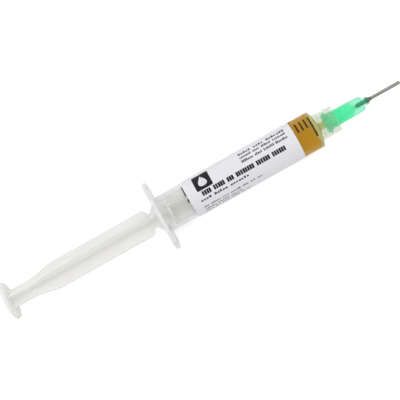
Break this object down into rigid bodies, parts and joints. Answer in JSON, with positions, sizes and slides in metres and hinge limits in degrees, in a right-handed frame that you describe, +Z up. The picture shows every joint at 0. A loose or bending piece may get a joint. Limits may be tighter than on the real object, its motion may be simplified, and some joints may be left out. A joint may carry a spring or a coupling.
{
  "type": "flux syringe",
  "caption": "Pre-filled luer-lock syringe of amber soldering flux gel with plunger, finger flange, wrapped label and blunt dispensing needle.",
  "frame": {"origin": "on the surface that the syringe lies on, under the middle of its length and of its width", "axes": "+X along the syringe axis towards the needle tip, +Y across, along the finger flange, +Z up"},
  "size_m": [0.1578, 0.0262, 0.0156],
  "materials": {
    "clear_polypropylene": "gloss",
    "white_polypropylene": "satin",
    "black_rubber": "matte",
    "amber_gel": "gloss",
    "label_paper": "satin",
    "green_polypropylene": "gloss",
    "stainless_steel": "satin",
    "cured_adhesive": "gloss"
  },
  "bodies": {
    "barrel": {"barrel": "clear_polypropylene", "flux_gel": "amber_gel", "label": "label_paper"},
    "gasket": {"gasket": "black_rubber"},
    "plunger_rod": {"plunger_rod": "white_polypropylene"},
    "adhesive": {"adhesive_bead": "cured_adhesive"},
    "needle": {"needle_hub": "green_polypropylene", "cannula": "stainless_steel"}
  },
  "joints": [
    {"name": "plunger_slide", "type": "slide", "parent": "barrel", "child": "gasket", "axis": [1, 0, 0], "range_m": [-0.011, 0.0426], "deforming": ["flux_gel"]},
    {"name": "plunger_turn", "type": "hinge", "parent": "gasket", "child": "plunger_rod", "pos_m": [0, 0, 0.0078], "axis": [1, 0, 0], "continuous": true},
    {"name": "needle_advance", "type": "slide", "parent": "barrel", "child": "adhesive", "axis": [1, 0, 0], "range_m": [0, 0.00375]},
    {"name": "needle_twist", "type": "hinge", "parent": "adhesive", "child": "needle", "pos_m": [0, 0, 0.0078], "axis": [1, 0, 0], "range_deg": [0, 270]}
  ],
  "couplings": [
    {"joint": "needle_twist", "follows": "needle_advance", "rad_per_m": 1256.6}
  ]
}
